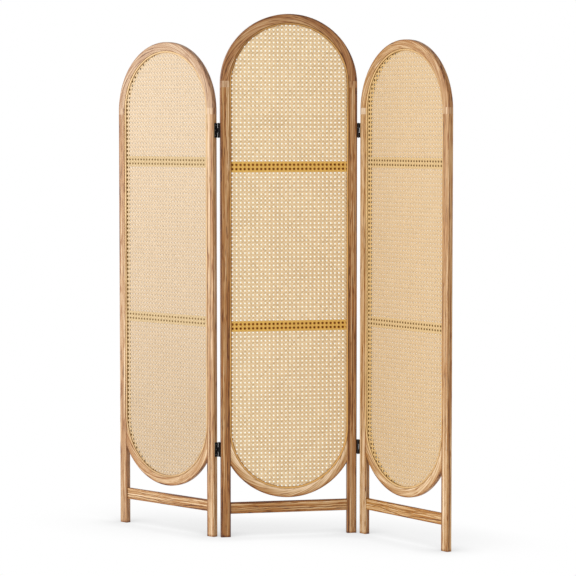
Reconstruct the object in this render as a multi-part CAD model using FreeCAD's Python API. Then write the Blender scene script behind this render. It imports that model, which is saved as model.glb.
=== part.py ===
import FreeCAD, Part
import math
import os
from collections import namedtuple

# A folding screen of three arched wooden panels filled with woven cane, standing as a zigzag.
# Millimetres and degrees. Each panel is drawn in its own frame: X from its left edge to its right
# edge, Y from its front face back, Z up from the floor. The middle panel faces -Y in the finished part.

# Panels
PANEL_WIDTH = 480.0
MIDDLE_HEIGHT = 1800.0
SIDE_HEIGHT = 1708.0

# Stiles, splice blocks and arches share one section with rounded edges
STILE_WIDTH = 34.0
STILE_DEPTH = 20.0
EDGE_RADIUS = 3.5
SPLICE_HEIGHT = 22.0

# Lower arc: set back from both faces of the stiles, its tips cut off before they thin to a feather
ARC_SETBACK = 2.0
ARC_TIP_DROP = 25.0
MIDDLE_ARC_GAP = 12.0
SIDE_ARC_GAP = 29.0

# Bottom rail between the legs
RAIL_HEIGHT = 40.0
RAIL_THICKNESS = 10.0
RAIL_EDGE_RADIUS = 2.0
MIDDLE_RAIL_BOTTOM = 80.0
SIDE_RAIL_BOTTOM = 86.0

# Cross rails behind the cane: their middles, below the arch's springing and above the lower arc's centre
CROSS_RAIL_HEIGHT = 36.0
CROSS_RAIL_THICKNESS = 10.0
MIDDLE_UPPER_RAIL_DROP = 283.0
SIDE_UPPER_RAIL_DROP = 175.0
MIDDLE_LOWER_RAIL_RISE = 357.0
SIDE_LOWER_RAIL_RISE = 349.0

# Cane webbing in a rebate round the opening, held down by a reed bead
REBATE_WIDTH = 4.0
CANE_THICKNESS = 1.6
CANE_PLAY = 0.3
BEAD_RECESS = 1.0
BEAD_THICKNESS = 3.4
BEAD_WIDTH = 7.0
BEAD_EDGE_RADIUS = 2.4
BEAD_PLAY = 0.2

# The weave's openings as a coarse grid of square holes, none of them over a cross rail
CANE_HOLES_ACROSS = 9
CANE_HOLE_SHARE = 0.40

# Dowels: how far they reach into the stile and into the piece that meets it
DOWEL_RADIUS = 3.0
DOWEL_BITE = 15.0
RAIL_DOWEL_REACH = 18.0
ARC_DOWEL_REACH = 12.0
SPLICE_DOWEL_RADIUS = 4.0
SPLICE_DOWEL_BITE = 30.0
DOWEL_PLAY = 0.1
ARC_DOWEL_SHARES = (0.70, 0.88)
RAIL_DOWEL_SHARES = (0.25, 0.75)

# Butt hinges on the edges of the stiles
HINGE_HEIGHT = 50.0
HINGE_GAP = 6.0
LEAF_THICKNESS = 1.5
LEAF_COVER = 13.5
BARREL_STANDOFF = 4.0
KNUCKLE_PLAY = 0.4
PIN_RADIUS = 1.5
PIN_PLAY = 0.06
PIN_HEAD_RADIUS = 2.3
PIN_HEAD_HEIGHT = 0.8
UPPER_HINGE_DROP = 66.0
LOWER_HINGE_RISE = 303.0

# Countersunk hinge screws with a cross recess for the driver
SCREW_RADIUS = 1.5
SCREW_HEAD_RADIUS = 2.9
SCREW_LENGTH = 12.0
SCREW_TIP = 3.0
SCREW_PITCH = 17.0
SCREW_PLAY = 0.1
RECESS_REACH = 1.7
RECESS_WIDTH = 0.8
RECESS_DEPTH = 1.1

# How far each side panel is folded from flat as the screen stands
LEFT_FOLD = 56.0
RIGHT_FOLD = 66.0

# Worked out from the sizes above
MID_X = PANEL_WIDTH / 2
FACE_WIDTH = STILE_WIDTH - REBATE_WIDTH
REBATE_HALF_WIDTH = MID_X - FACE_WIDTH
REBATE_DEPTH = BEAD_RECESS + BEAD_THICKNESS + CANE_THICKNESS
CANE_FRONT = BEAD_RECESS + BEAD_THICKNESS
BEAD_HALF_WIDTH = REBATE_HALF_WIDTH - BEAD_PLAY
CANE_CLEAR_HALF_WIDTH = BEAD_HALF_WIDTH - BEAD_WIDTH
INNER_RADIUS = MID_X - STILE_WIDTH
ARC_JOINT_DROP = math.sqrt(MID_X ** 2 - INNER_RADIUS ** 2)
BARREL_RADIUS = HINGE_GAP / 2
BARREL_Y = STILE_DEPTH + BARREL_STANDOFF
LEAF_FRONT = STILE_DEPTH - LEAF_COVER
SCREW_Y = (LEAF_FRONT + STILE_DEPTH - EDGE_RADIUS) / 2
OVERCUT = 5.0

V = FreeCAD.Vector
X_AXIS = V(1, 0, 0)
Y_AXIS = V(0, 1, 0)
Z_AXIS = V(0, 0, 1)

Panel = namedtuple("Panel", "name height arc_gap rail_bottom upper_rail_drop lower_rail_rise")
Peg = namedtuple("Peg", "start axis length radius")
Fold = namedtuple("Fold", "name side middle_edge barrel_front pin_on_side angle")

LEFT = Panel("left_panel", SIDE_HEIGHT, SIDE_ARC_GAP, SIDE_RAIL_BOTTOM,
             SIDE_UPPER_RAIL_DROP, SIDE_LOWER_RAIL_RISE)
MIDDLE = Panel("middle_panel", MIDDLE_HEIGHT, MIDDLE_ARC_GAP, MIDDLE_RAIL_BOTTOM,
               MIDDLE_UPPER_RAIL_DROP, MIDDLE_LOWER_RAIL_RISE)
RIGHT = LEFT._replace(name="right_panel")

# The left pair of hinges has its barrels behind the screen and the right pair in front of it
FOLDS = (Fold("left", LEFT, "left", False, False, LEFT_FOLD),
         Fold("right", RIGHT, "right", True, True, RIGHT_FOLD))


def springing(panel):
    """Height where the arch leaves the straight stiles."""
    return panel.height - MID_X


def arc_centre(panel):
    """Height of the lower arc's centre."""
    return panel.rail_bottom + RAIL_HEIGHT + panel.arc_gap + MID_X


def cross_rail_middles(panel):
    """Heights of the lower and upper cross rails' middles."""
    return {"lower": arc_centre(panel) + panel.lower_rail_rise,
            "upper": springing(panel) - panel.upper_rail_drop}


def hinge_heights():
    """Heights of the hinges' middles, the upper one below the lowest springing."""
    return {"upper": min(springing(LEFT), springing(MIDDLE)) - UPPER_HINGE_DROP,
            "lower": LOWER_HINGE_RISE}


def block(low, high):
    """Box between two corners."""
    return Part.makeBox(high.x - low.x, high.y - low.y, high.z - low.z, low)


def mirrored(shape, right=False, front=False):
    """Copy of a piece of the left edge and rear face, moved to the right edge or the front face."""
    if right:
        shape = shape.mirror(V(MID_X, 0, 0), X_AXIS)
    if front:
        shape = shape.mirror(V(0, STILE_DEPTH / 2, 0), Y_AXIS)
    return shape


def rounded_face(width, low, high, radius):
    """Rectangle from the origin along X, between two places in Y, with rounded corners."""
    corners = ((radius, low + radius, 180), (width - radius, low + radius, 270),
               (width - radius, high - radius, 0), (radius, high - radius, 90))
    arcs = [Part.makeCircle(radius, V(x, y, 0), Z_AXIS, start, start + 90) for x, y, start in corners]
    ends = [(arc.valueAt(arc.FirstParameter), arc.valueAt(arc.LastParameter)) for arc in arcs]
    edges = []
    for index, arc in enumerate(arcs):
        edges += [arc, Part.makeLine(ends[index][1], ends[(index + 1) % len(arcs)][0])]
    return Part.Face(Part.Wire(edges))


def stadium_outline(panel, half_width, y):
    """Upright outline with half-round ends on the centres of the arch and the lower arc."""
    low, high = arc_centre(panel), springing(panel)
    left, right = MID_X - half_width, MID_X + half_width
    low_left, high_left = V(left, y, low), V(left, y, high)
    low_right, high_right = V(right, y, low), V(right, y, high)
    top = Part.Arc(high_left, V(MID_X, y, high + half_width), high_right)
    bottom = Part.Arc(low_right, V(MID_X, y, low - half_width), low_left)
    return Part.Wire([Part.makeLine(low_left, high_left), top.toShape(),
                      Part.makeLine(high_right, low_right), bottom.toShape()])


def stadium(panel, half_width, front, back):
    """Upright plate with half-round ends on the centres of the arch and the lower arc."""
    return Part.Face(stadium_outline(panel, half_width, front)).extrude(V(0, back - front, 0))


def rail(height, thickness, front, bottom, radius):
    """Straight rail from stile to stile with rounded long edges."""
    face = rounded_face(height, front, front + thickness, radius)
    face.rotate(V(0, 0, 0), Y_AXIS, -90)
    face.translate(V(STILE_WIDTH, 0, bottom))
    return face.extrude(V(PANEL_WIDTH - 2 * STILE_WIDTH, 0, 0))


def pegs(panel):
    """Dowels of one panel, as places and sizes."""
    middle_y = STILE_DEPTH / 2
    found = []

    def across(y, z, reach):
        length = DOWEL_BITE + reach
        for start in (STILE_WIDTH - DOWEL_BITE, PANEL_WIDTH - STILE_WIDTH - reach):
            found.append(Peg(V(start, y, z), X_AXIS, length, DOWEL_RADIUS))

    for share in RAIL_DOWEL_SHARES:
        across(middle_y, panel.rail_bottom + share * RAIL_HEIGHT, RAIL_DOWEL_REACH)
        for middle in cross_rail_middles(panel).values():
            height = middle + (share - 0.5) * CROSS_RAIL_HEIGHT
            across(REBATE_DEPTH + CROSS_RAIL_THICKNESS / 2, height, RAIL_DOWEL_REACH)
    for share in ARC_DOWEL_SHARES:
        across(middle_y, arc_centre(panel) - share * ARC_JOINT_DROP, ARC_DOWEL_REACH)
    for x in (FACE_WIDTH / 2, PANEL_WIDTH - FACE_WIDTH / 2):
        start = V(x, middle_y, springing(panel) - SPLICE_HEIGHT / 2 - SPLICE_DOWEL_BITE)
        length = SPLICE_HEIGHT + 2 * SPLICE_DOWEL_BITE
        found.append(Peg(start, Z_AXIS, length, SPLICE_DOWEL_RADIUS))
    return found


def peg_solid(peg, play=0.0):
    """A dowel, or with some play the hole that it is glued into."""
    return Part.makeCylinder(peg.radius + play, peg.length + 2 * play, peg.start - peg.axis * play, peg.axis)


def hinge_screw(z, play=0.0):
    """Body of a countersunk screw through a left-edge leaf, or with some play the hole for it."""
    face = V(-LEAF_THICKNESS, SCREW_Y, z)
    seat = V(0, SCREW_Y, z)
    head = Part.makeCone(SCREW_HEAD_RADIUS + play, SCREW_RADIUS + play, LEAF_THICKNESS, face, X_AXIS)
    shank_length = SCREW_LENGTH - SCREW_TIP
    shank = Part.makeCylinder(SCREW_RADIUS + play, shank_length, seat, X_AXIS)
    tip = Part.makeCone(SCREW_RADIUS + play, play, SCREW_TIP + play, seat + X_AXIS * shank_length, X_AXIS)
    return head.fuse([shank, tip]).removeSplitter()


def cross_recess(z):
    """The two crossed slots that are cut in a screw's head."""
    middle = V(-LEAF_THICKNESS, SCREW_Y, z)
    slots = []
    for along_y, along_z in ((RECESS_REACH, RECESS_WIDTH / 2), (RECESS_WIDTH / 2, RECESS_REACH)):
        slots.append(block(middle - V(OVERCUT, along_y, along_z), middle + V(RECESS_DEPTH, along_y, along_z)))
    return slots


def screw_set(z, play=0.0):
    """The screws of one leaf whose middle is at height z, or with some play their holes."""
    heights = [z + step * SCREW_PITCH for step in (-1, 0, 1)]
    if play:
        return [hinge_screw(height, play) for height in heights]
    return [hinge_screw(height).cut(cross_recess(height)) for height in heights]


def knuckle_spans(middle):
    """Lower and upper ends of a leaf's knuckles, about the hinge's middle."""
    inner = HINGE_HEIGHT / 6
    outer = HINGE_HEIGHT / 2
    if middle:
        return [(-inner + KNUCKLE_PLAY / 2, inner - KNUCKLE_PLAY / 2)]
    return [(-outer, -inner - KNUCKLE_PLAY / 2), (inner + KNUCKLE_PLAY / 2, outer)]


def hinge_leaf(z, middle):
    """Leaf on the left edge with its barrel behind: one middle knuckle, or the two end ones."""
    axis = V(-BARREL_RADIUS, BARREL_Y, 0)
    reach = math.sqrt(BARREL_RADIUS ** 2 - (BARREL_RADIUS - LEAF_THICKNESS) ** 2)
    plate_front, plate_back = V(-LEAF_THICKNESS, LEAF_FRONT, 0), V(0, LEAF_FRONT, 0)
    barrel_start, barrel_end = V(0, BARREL_Y, 0), V(-LEAF_THICKNESS, BARREL_Y - reach, 0)
    curl = Part.Arc(barrel_start, axis + V(-BARREL_RADIUS, 0, 0), barrel_end).toShape()
    outline = Part.Wire([Part.makeLine(plate_back, barrel_start), curl,
                         Part.makeLine(barrel_end, plate_front), Part.makeLine(plate_front, plate_back)])
    notch_y = BARREL_Y - BARREL_RADIUS - KNUCKLE_PLAY
    leaf = block(V(-LEAF_THICKNESS, LEAF_FRONT, -HINGE_HEIGHT / 2), V(0, notch_y, HINGE_HEIGHT / 2))
    knuckles = []
    for low, high in knuckle_spans(middle):
        curled = Part.Face(outline).extrude(V(0, 0, high - low))
        curled.translate(V(0, 0, low))
        knuckles.append(curled)
    leaf = leaf.fuse(knuckles).removeSplitter()
    bore = Part.makeCylinder(PIN_RADIUS + PIN_PLAY, HINGE_HEIGHT + 2 * OVERCUT,
                             axis - Z_AXIS * (HINGE_HEIGHT / 2 + OVERCUT), Z_AXIS)
    leaf = leaf.cut([bore] + screw_set(0, SCREW_PLAY))
    leaf.translate(V(0, 0, z))
    return leaf


def hinge_pin(z):
    """Pin through the knuckles of a left-edge hinge, with a small head at each end."""
    foot = V(-BARREL_RADIUS, BARREL_Y, z - HINGE_HEIGHT / 2)
    shaft = Part.makeCylinder(PIN_RADIUS, HINGE_HEIGHT, foot, Z_AXIS)
    low_head = Part.makeCylinder(PIN_HEAD_RADIUS, PIN_HEAD_HEIGHT, foot - Z_AXIS * PIN_HEAD_HEIGHT, Z_AXIS)
    high_head = Part.makeCylinder(PIN_HEAD_RADIUS, PIN_HEAD_HEIGHT, foot + Z_AXIS * HINGE_HEIGHT, Z_AXIS)
    return shaft.fuse([low_head, high_head]).removeSplitter()


def hinged_edges(panel):
    """Edges of a panel that carry hinges, as (right edge, barrel in front)."""
    edges = []
    for fold in FOLDS:
        at_right = fold.middle_edge == "right"
        if panel is MIDDLE:
            edges.append((at_right, fold.barrel_front))
        elif panel is fold.side:
            edges.append((not at_right, fold.barrel_front))
    return edges


def panel_screws(panel, play=0.0):
    """All hinge screws of a panel, or with some play their holes."""
    screws = []
    for at_right, in_front in hinged_edges(panel):
        for z in hinge_heights().values():
            screws += [mirrored(screw, at_right, in_front) for screw in screw_set(z, play)]
    return screws


def frame_pieces(panel):
    """Wooden pieces of a panel before the rebate and the holes are cut."""
    spring = springing(panel)
    centre = arc_centre(panel)
    section = rounded_face(STILE_WIDTH, 0, STILE_DEPTH, EDGE_RADIUS)
    splice_low, splice_high = spring - SPLICE_HEIGHT / 2, spring + SPLICE_HEIGHT / 2
    stile = section.extrude(Z_AXIS * splice_low)

    ring_face = section.copy()
    ring_face.translate(Z_AXIS * spring)
    half_ring = ring_face.revolve(V(MID_X, 0, spring), Y_AXIS, 180)
    above = block(V(-OVERCUT, -OVERCUT, splice_high),
                  V(PANEL_WIDTH + OVERCUT, STILE_DEPTH + OVERCUT, panel.height + OVERCUT))
    beside = block(V(-OVERCUT, -OVERCUT, spring), V(MID_X, STILE_DEPTH + OVERCUT, splice_high))
    straight = section.extrude(Z_AXIS * (spring - splice_low))
    straight.translate(Z_AXIS * splice_low)
    splice = straight.fuse(half_ring.common(beside)).removeSplitter()

    arc_face = rounded_face(STILE_WIDTH, ARC_SETBACK, STILE_DEPTH - ARC_SETBACK, EDGE_RADIUS)
    arc_face.translate(Z_AXIS * centre)
    between = block(V(STILE_WIDTH, -OVERCUT, centre - MID_X - OVERCUT),
                    V(PANEL_WIDTH - STILE_WIDTH, STILE_DEPTH + OVERCUT, centre - ARC_TIP_DROP))
    lower_arc = arc_face.revolve(V(MID_X, 0, centre), Y_AXIS, -180).common(between)

    rail_front = (STILE_DEPTH - RAIL_THICKNESS) / 2
    pieces = {
        "left_stile": stile,
        "right_stile": mirrored(stile, right=True),
        "left_splice_block": splice,
        "right_splice_block": mirrored(splice, right=True),
        "arch": half_ring.common(above),
        "lower_arc": lower_arc,
        "bottom_rail": rail(RAIL_HEIGHT, RAIL_THICKNESS, rail_front, panel.rail_bottom, RAIL_EDGE_RADIUS),
    }
    for name, middle in cross_rail_middles(panel).items():
        bottom = middle - CROSS_RAIL_HEIGHT / 2
        pieces[name + "_cross_rail"] = rail(CROSS_RAIL_HEIGHT, CROSS_RAIL_THICKNESS, REBATE_DEPTH,
                                            bottom, RAIL_EDGE_RADIUS)
    return pieces


def cane_holes(panel):
    """Outlines of the cane's square openings, in rows up and down from the lower cross rail."""
    pitch = 2 * CANE_CLEAR_HALF_WIDTH / CANE_HOLES_ACROSS
    half = pitch * CANE_HOLE_SHARE / 2
    low, high = arc_centre(panel), springing(panel)
    rails = cross_rail_middles(panel)
    first = math.ceil((low - CANE_CLEAR_HALF_WIDTH - rails["lower"]) / pitch)
    last = math.floor((high + CANE_CLEAR_HALF_WIDTH - rails["lower"]) / pitch)
    outlines = []
    for row in range(first, last + 1):
        z = rails["lower"] + row * pitch
        over_rail = any(abs(z - middle) < CROSS_RAIL_HEIGHT / 2 + half for middle in rails.values())
        into_end = max(low - z + half, z + half - high, 0)
        for column in range(CANE_HOLES_ACROSS):
            x = (column + 0.5) * pitch - CANE_CLEAR_HALF_WIDTH
            if over_rail or math.hypot(abs(x) + half, into_end) > CANE_CLEAR_HALF_WIDTH:
                continue
            corners = [V(MID_X + x + right * half, CANE_FRONT, z + up * half)
                       for right, up in ((-1, -1), (1, -1), (1, 1), (-1, 1))]
            outlines.append(Part.makePolygon(corners + corners[:1]))
    return outlines


def cane_webbing(panel):
    """Sheet of cane in the rebate, pierced by its openings."""
    outline = stadium_outline(panel, REBATE_HALF_WIDTH - CANE_PLAY, CANE_FRONT)
    sheet = Part.makeFace([outline] + cane_holes(panel), "Part::FaceMakerBullseye")
    return sheet.extrude(V(0, CANE_THICKNESS, 0))


def cane_bead(panel):
    """Reed bead round the edge of the cane, rounded along its front."""
    band = stadium(panel, BEAD_HALF_WIDTH, BEAD_RECESS, CANE_FRONT)
    opening = stadium(panel, CANE_CLEAR_HALF_WIDTH, BEAD_RECESS - OVERCUT, CANE_FRONT + OVERCUT)
    band = band.cut(opening)
    front_edges = [edge for edge in band.Edges
                   if abs(edge.BoundBox.YMax - BEAD_RECESS) < CANE_PLAY / 10]
    return band.makeFillet(BEAD_EDGE_RADIUS, front_edges)


def panel_nodes(panel):
    """Every piece of a panel, in the panel's own frame."""
    holes = [peg_solid(peg, DOWEL_PLAY) for peg in pegs(panel)]
    holes += panel_screws(panel, SCREW_PLAY)
    rebate = stadium(panel, REBATE_HALF_WIDTH, -OVERCUT, REBATE_DEPTH)
    nodes = {name: piece.cut([rebate] + holes) for name, piece in frame_pieces(panel).items()}
    nodes["cane_webbing"] = cane_webbing(panel)
    nodes["cane_bead"] = cane_bead(panel)
    nodes["dowels"] = Part.makeCompound([peg_solid(peg) for peg in pegs(panel)])
    nodes["hinge_screws"] = Part.makeCompound(panel_screws(panel))
    return {panel.name + "_" + name: shape for name, shape in nodes.items()}


def hinge_nodes(fold):
    """Leaves and pins of the two hinges of one fold, sorted by the panel that carries them."""
    at_right = fold.middle_edge == "right"
    on_side, on_middle = {}, {}
    for place, z in hinge_heights().items():
        name = f"{fold.name}_{place}_hinge"
        side_leaf = hinge_leaf(z, middle=not fold.pin_on_side)
        middle_leaf = hinge_leaf(z, middle=fold.pin_on_side)
        on_side[name + "_side_leaf"] = mirrored(side_leaf, not at_right, fold.barrel_front)
        on_middle[name + "_middle_leaf"] = mirrored(middle_leaf, at_right, fold.barrel_front)
        if fold.pin_on_side:
            on_side[name + "_pin"] = mirrored(hinge_pin(z), not at_right, fold.barrel_front)
        else:
            on_middle[name + "_pin"] = mirrored(hinge_pin(z), at_right, fold.barrel_front)
    return on_side, on_middle


def hinge_axis(right_edge, in_front):
    """Where a hinge's axis stands, in the frame of a panel that carries it."""
    x = PANEL_WIDTH + BARREL_RADIUS if right_edge else -BARREL_RADIUS
    y = STILE_DEPTH - BARREL_Y if in_front else BARREL_Y
    return V(x, y, 0)


def fold_placement(fold):
    """Placement that swings a side panel about its hinges, in the middle panel's frame."""
    at_right = fold.middle_edge == "right"
    target = hinge_axis(at_right, fold.barrel_front)
    own = hinge_axis(not at_right, fold.barrel_front)
    turn = FreeCAD.Rotation(Z_AXIS, -fold.angle)
    return FreeCAD.Placement(target - turn.multVec(own), turn)


def footprint_centre(placements):
    """Middle of the box round the rounded corners of all stiles, on the floor."""
    xs, ys = [], []
    for placement in placements:
        for x in (EDGE_RADIUS, PANEL_WIDTH - EDGE_RADIUS):
            for y in (EDGE_RADIUS, STILE_DEPTH - EDGE_RADIUS):
                corner = placement.multVec(V(x, y, 0))
                xs.append(corner.x)
                ys.append(corner.y)
    return V((min(xs) + max(xs)) / 2, (min(ys) + max(ys)) / 2, 0)


def placed(shape, placement):
    """Copy of a shape moved from its panel's frame."""
    moved = shape.copy()
    moved.Placement = placement.multiply(moved.Placement)
    return moved


def main():
    """Build every piece, stand the screen on its origin and write one file for each node."""
    os.makedirs("parts", exist_ok=True)
    unfolded = FreeCAD.Placement()
    places = {fold.side.name: fold_placement(fold) for fold in FOLDS}
    places[MIDDLE.name] = unfolded
    centre = footprint_centre(places.values())
    to_origin = FreeCAD.Placement(-centre, FreeCAD.Rotation())

    contents = {panel.name: panel_nodes(panel) for panel in (LEFT, MIDDLE, RIGHT)}
    for fold in FOLDS:
        on_side, on_middle = hinge_nodes(fold)
        contents[fold.side.name].update(on_side)
        contents[MIDDLE.name].update(on_middle)

    for panel_name, nodes in contents.items():
        placement = to_origin.multiply(places[panel_name])
        for node, shape in nodes.items():
            placed(shape, placement).exportStep(f"parts/{node}.step")

    for fold in FOLDS:
        axis = hinge_axis(fold.middle_edge == "right", fold.barrel_front) - centre
        print(f"{fold.name} fold axis at x {axis.x:.3f}, y {axis.y:.3f}")
    for name, placement in places.items():
        for x in (STILE_WIDTH / 2, PANEL_WIDTH - STILE_WIDTH / 2):
            foot = placement.multVec(V(x, STILE_DEPTH / 2, 0)) - centre
            print(f"{name} foot at x {foot.x:.3f}, y {foot.y:.3f}")


main()
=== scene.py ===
"""Looks of a three-panel rattan folding screen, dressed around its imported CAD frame.

Lengths are in metres. Each panel has axes of its own: across it from left to right, out of its front face,
and up.
"""

import logging
import math
from collections.abc import Iterator, Sequence
from dataclasses import dataclass, fields
from enum import Enum

import bpy
import numpy as np
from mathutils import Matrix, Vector


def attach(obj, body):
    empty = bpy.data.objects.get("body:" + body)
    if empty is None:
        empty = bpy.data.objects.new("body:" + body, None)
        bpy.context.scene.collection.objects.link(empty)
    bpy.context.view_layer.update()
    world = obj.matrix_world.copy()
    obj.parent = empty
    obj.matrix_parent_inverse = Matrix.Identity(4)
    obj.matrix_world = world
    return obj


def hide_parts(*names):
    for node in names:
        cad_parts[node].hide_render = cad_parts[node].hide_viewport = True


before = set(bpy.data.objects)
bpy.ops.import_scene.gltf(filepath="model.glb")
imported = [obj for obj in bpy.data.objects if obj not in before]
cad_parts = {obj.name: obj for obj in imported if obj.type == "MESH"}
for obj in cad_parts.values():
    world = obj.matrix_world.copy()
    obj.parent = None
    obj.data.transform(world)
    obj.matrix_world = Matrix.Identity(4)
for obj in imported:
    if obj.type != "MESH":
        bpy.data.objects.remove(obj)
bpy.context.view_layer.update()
LOG = logging.getLogger("folding_screen")
MM = 0.001
FIGURE_STEP = 11.0

Colour = tuple[float, float, float]
Point = tuple[float, float, float]
Socket = bpy.types.NodeSocket
Value = Socket | float | Colour


class Side(Enum):
    """The three panels, by the name of the body that carries each."""

    LEFT = "left_panel"
    MIDDLE = "middle_panel"
    RIGHT = "right_panel"


class Shape(Enum):
    """How a board lies in its panel: an upright post, a level beam, or an arc over or under the cane."""

    POST = "post"
    BEAM = "beam"
    ARCH = "arch"
    BOWL = "bowl"


class Lay(Enum):
    """The four ways in which strands of cane run over a panel."""

    UPRIGHT = "uprights"
    LEVEL = "levels"
    RISING = "rising"
    FALLING = "falling"


def linear(red: int, green: int, blue: int) -> Colour:
    """Turn a colour as a screen shows it into the linear one that a shader takes.

    Args:
        red: Red from 0 to 255.
        green: Green from 0 to 255.
        blue: Blue from 0 to 255.

    Returns:
        The linear colour, each channel from 0 to 1.
    """
    shown = [channel / 255 for channel in (red, green, blue)]
    return tuple(c / 12.92 if c <= 0.04045 else ((c + 0.055) / 1.055) ** 2.4 for c in shown)


def grey(level: float) -> Colour:
    """Give the grey of one level."""
    return (level, level, level)


def node_corners(node: str) -> np.ndarray:
    """Read the corners of a CAD node, one row for each."""
    return np.array([vertex.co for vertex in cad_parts[node].data.vertices])


def dress(node: str, material: bpy.types.Material) -> None:
    """Give a CAD node its finish.

    Args:
        node: The node's name.
        material: The finish.
    """
    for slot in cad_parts[node].material_slots:
        slot.material = material
    LOG.info("%s in %s", node, material.name)


def put(name: str, data: bpy.types.ID) -> bpy.types.Object:
    """Put a mesh, a light or a camera in the scene.

    Args:
        name: The new object's name.
        data: The mesh, light or camera.

    Returns:
        The object.
    """
    new = bpy.data.objects.new(name, data)
    bpy.context.scene.collection.objects.link(new)
    return new


class Shading:
    """A node-based material, with short ways to add its nodes and join them."""

    NOISE_LOW = 0.3
    NOISE_HIGH = 0.7
    SAME_HUE = 0.5

    def __init__(self, name: str) -> None:
        """Start a material that holds one principled surface.

        Args:
            name: The material's name.
        """
        self.material = bpy.data.materials.new(name)
        self.material.use_nodes = True
        self.nodes = self.material.node_tree.nodes
        self.links = self.material.node_tree.links
        self.surface = next(node for node in self.nodes if node.type == "BSDF_PRINCIPLED")

    def feed(self, socket: Socket, value: Value) -> None:
        """Join a value to an input, or set it there if it is a constant.

        Args:
            socket: The input.
            value: An output of another node, a number or a colour.
        """
        if isinstance(value, Socket):
            self.links.new(value, socket)
        elif socket.type == "RGBA":
            socket.default_value = (*value, 1.0)
        else:
            socket.default_value = value

    def add(self, kind: str, *values: Value, **settings: object) -> bpy.types.Node:
        """Add a node.

        Args:
            kind: The node's type.
            *values: What goes into its first inputs, in order.
            **settings: The node's own properties.

        Returns:
            The new node.
        """
        node = self.nodes.new(kind)
        for key, setting in settings.items():
            setattr(node, key, setting)
        for socket, value in zip(node.inputs, values):
            self.feed(socket, value)
        return node

    def math(self, operation: str, *values: Value) -> Socket:
        """Work out one number from one or more others."""
        return self.add("ShaderNodeMath", *values, operation=operation).outputs[0]

    def hypot(self, first: Value, second: Value) -> Socket:
        """Measure the straight distance over two runs at right angles."""
        squares = self.math("MULTIPLY_ADD", first, first, self.math("MULTIPLY", second, second))
        return self.math("SQRT", squares)

    def spread(self, value: Value, low: float, high: float, start: float, end: float) -> Socket:
        """Map the stretch from low to high to the one from start to end, held at both ends."""
        return self.add("ShaderNodeMapRange", value, low, high, start, end).outputs[0]

    def uneven(self, noise: Value, middle: float, stray: float) -> Socket:
        """Turn noise into a number that strays from a middle one, either way."""
        return self.spread(noise, self.NOISE_LOW, self.NOISE_HIGH, middle - stray, middle + stray)

    def weigh(self, base: Value, *parts: tuple[Value, Value]) -> Value:
        """Add values to a base, each times its own weight.

        Args:
            base: What they are added to.
            *parts: The values and their weights.

        Returns:
            The sum.
        """
        for value, weight in parts:
            base = self.math("MULTIPLY_ADD", value, weight, base)
        return base

    def noise(self, place: Value, steps: Sequence[float], detail: float = 2.0) -> Socket:
        """Sample noise that is stretched by its own scale on each axis.

        Args:
            place: Where to sample it.
            steps: Steps of noise in one metre, along each axis.
            detail: How many finer layers it has.

        Returns:
            A value about one half.
        """
        stretched = self.add("ShaderNodeVectorMath", place, tuple(steps), operation="MULTIPLY").outputs[0]
        texture = self.add("ShaderNodeTexNoise")
        self.feed(texture.inputs["Vector"], stretched)
        self.feed(texture.inputs["Scale"], 1.0)
        self.feed(texture.inputs["Detail"], detail)
        return texture.outputs[0]

    def ramp(self, value: Value, stops: Sequence[tuple[float, Colour]]) -> Socket:
        """Turn a value into a colour.

        Args:
            value: The value, from 0 to 1.
            stops: Places and their colours, in rising order.

        Returns:
            The colour.
        """
        node = self.add("ShaderNodeValToRGB", value)
        elements = node.color_ramp.elements
        while len(elements) < len(stops):
            elements.new(1.0)
        for element, (place, colour) in zip(elements, stops):
            element.position = place
            element.color = (*colour, 1.0)
        return node.outputs[0]

    def blend(self, share: Value, first: Value, second: Value) -> Socket:
        """Mix two colours.

        Args:
            share: How much of the second colour there is.
            first: The first colour.
            second: The second colour.

        Returns:
            The mixed colour.
        """
        node = self.add("ShaderNodeMix", share, data_type="RGBA")
        first_input, second_input = (socket for socket in node.inputs if socket.type == "RGBA")
        self.feed(first_input, first)
        self.feed(second_input, second)
        return next(socket for socket in node.outputs if socket.type == "RGBA")

    def enrich(self, colour: Value, richness: float) -> Socket:
        """Make a colour stronger or weaker, 1 for as it is."""
        return self.add("ShaderNodeHueSaturation", self.SAME_HUE, richness, 1.0, 1.0, colour).outputs[0]

    def bump(self, height: Value, strength: float, depth: float) -> None:
        """Raise the surface by a height from 0 to 1.

        Args:
            height: The height.
            strength: How much of the relief shows.
            depth: How high 1 is, in metres.
        """
        node = self.add("ShaderNodeBump")
        self.feed(node.inputs["Strength"], strength)
        self.feed(node.inputs["Distance"], depth)
        self.feed(node.inputs["Height"], height)
        self.links.new(node.outputs[0], self.surface.inputs["Normal"])

    def set(self, **values: Value) -> None:
        """Feed inputs of the surface, named in lower case with _ for spaces."""
        for socket in self.surface.inputs:
            key = socket.name.lower().replace(" ", "_")
            if key in values:
                self.feed(socket, values[key])


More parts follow.
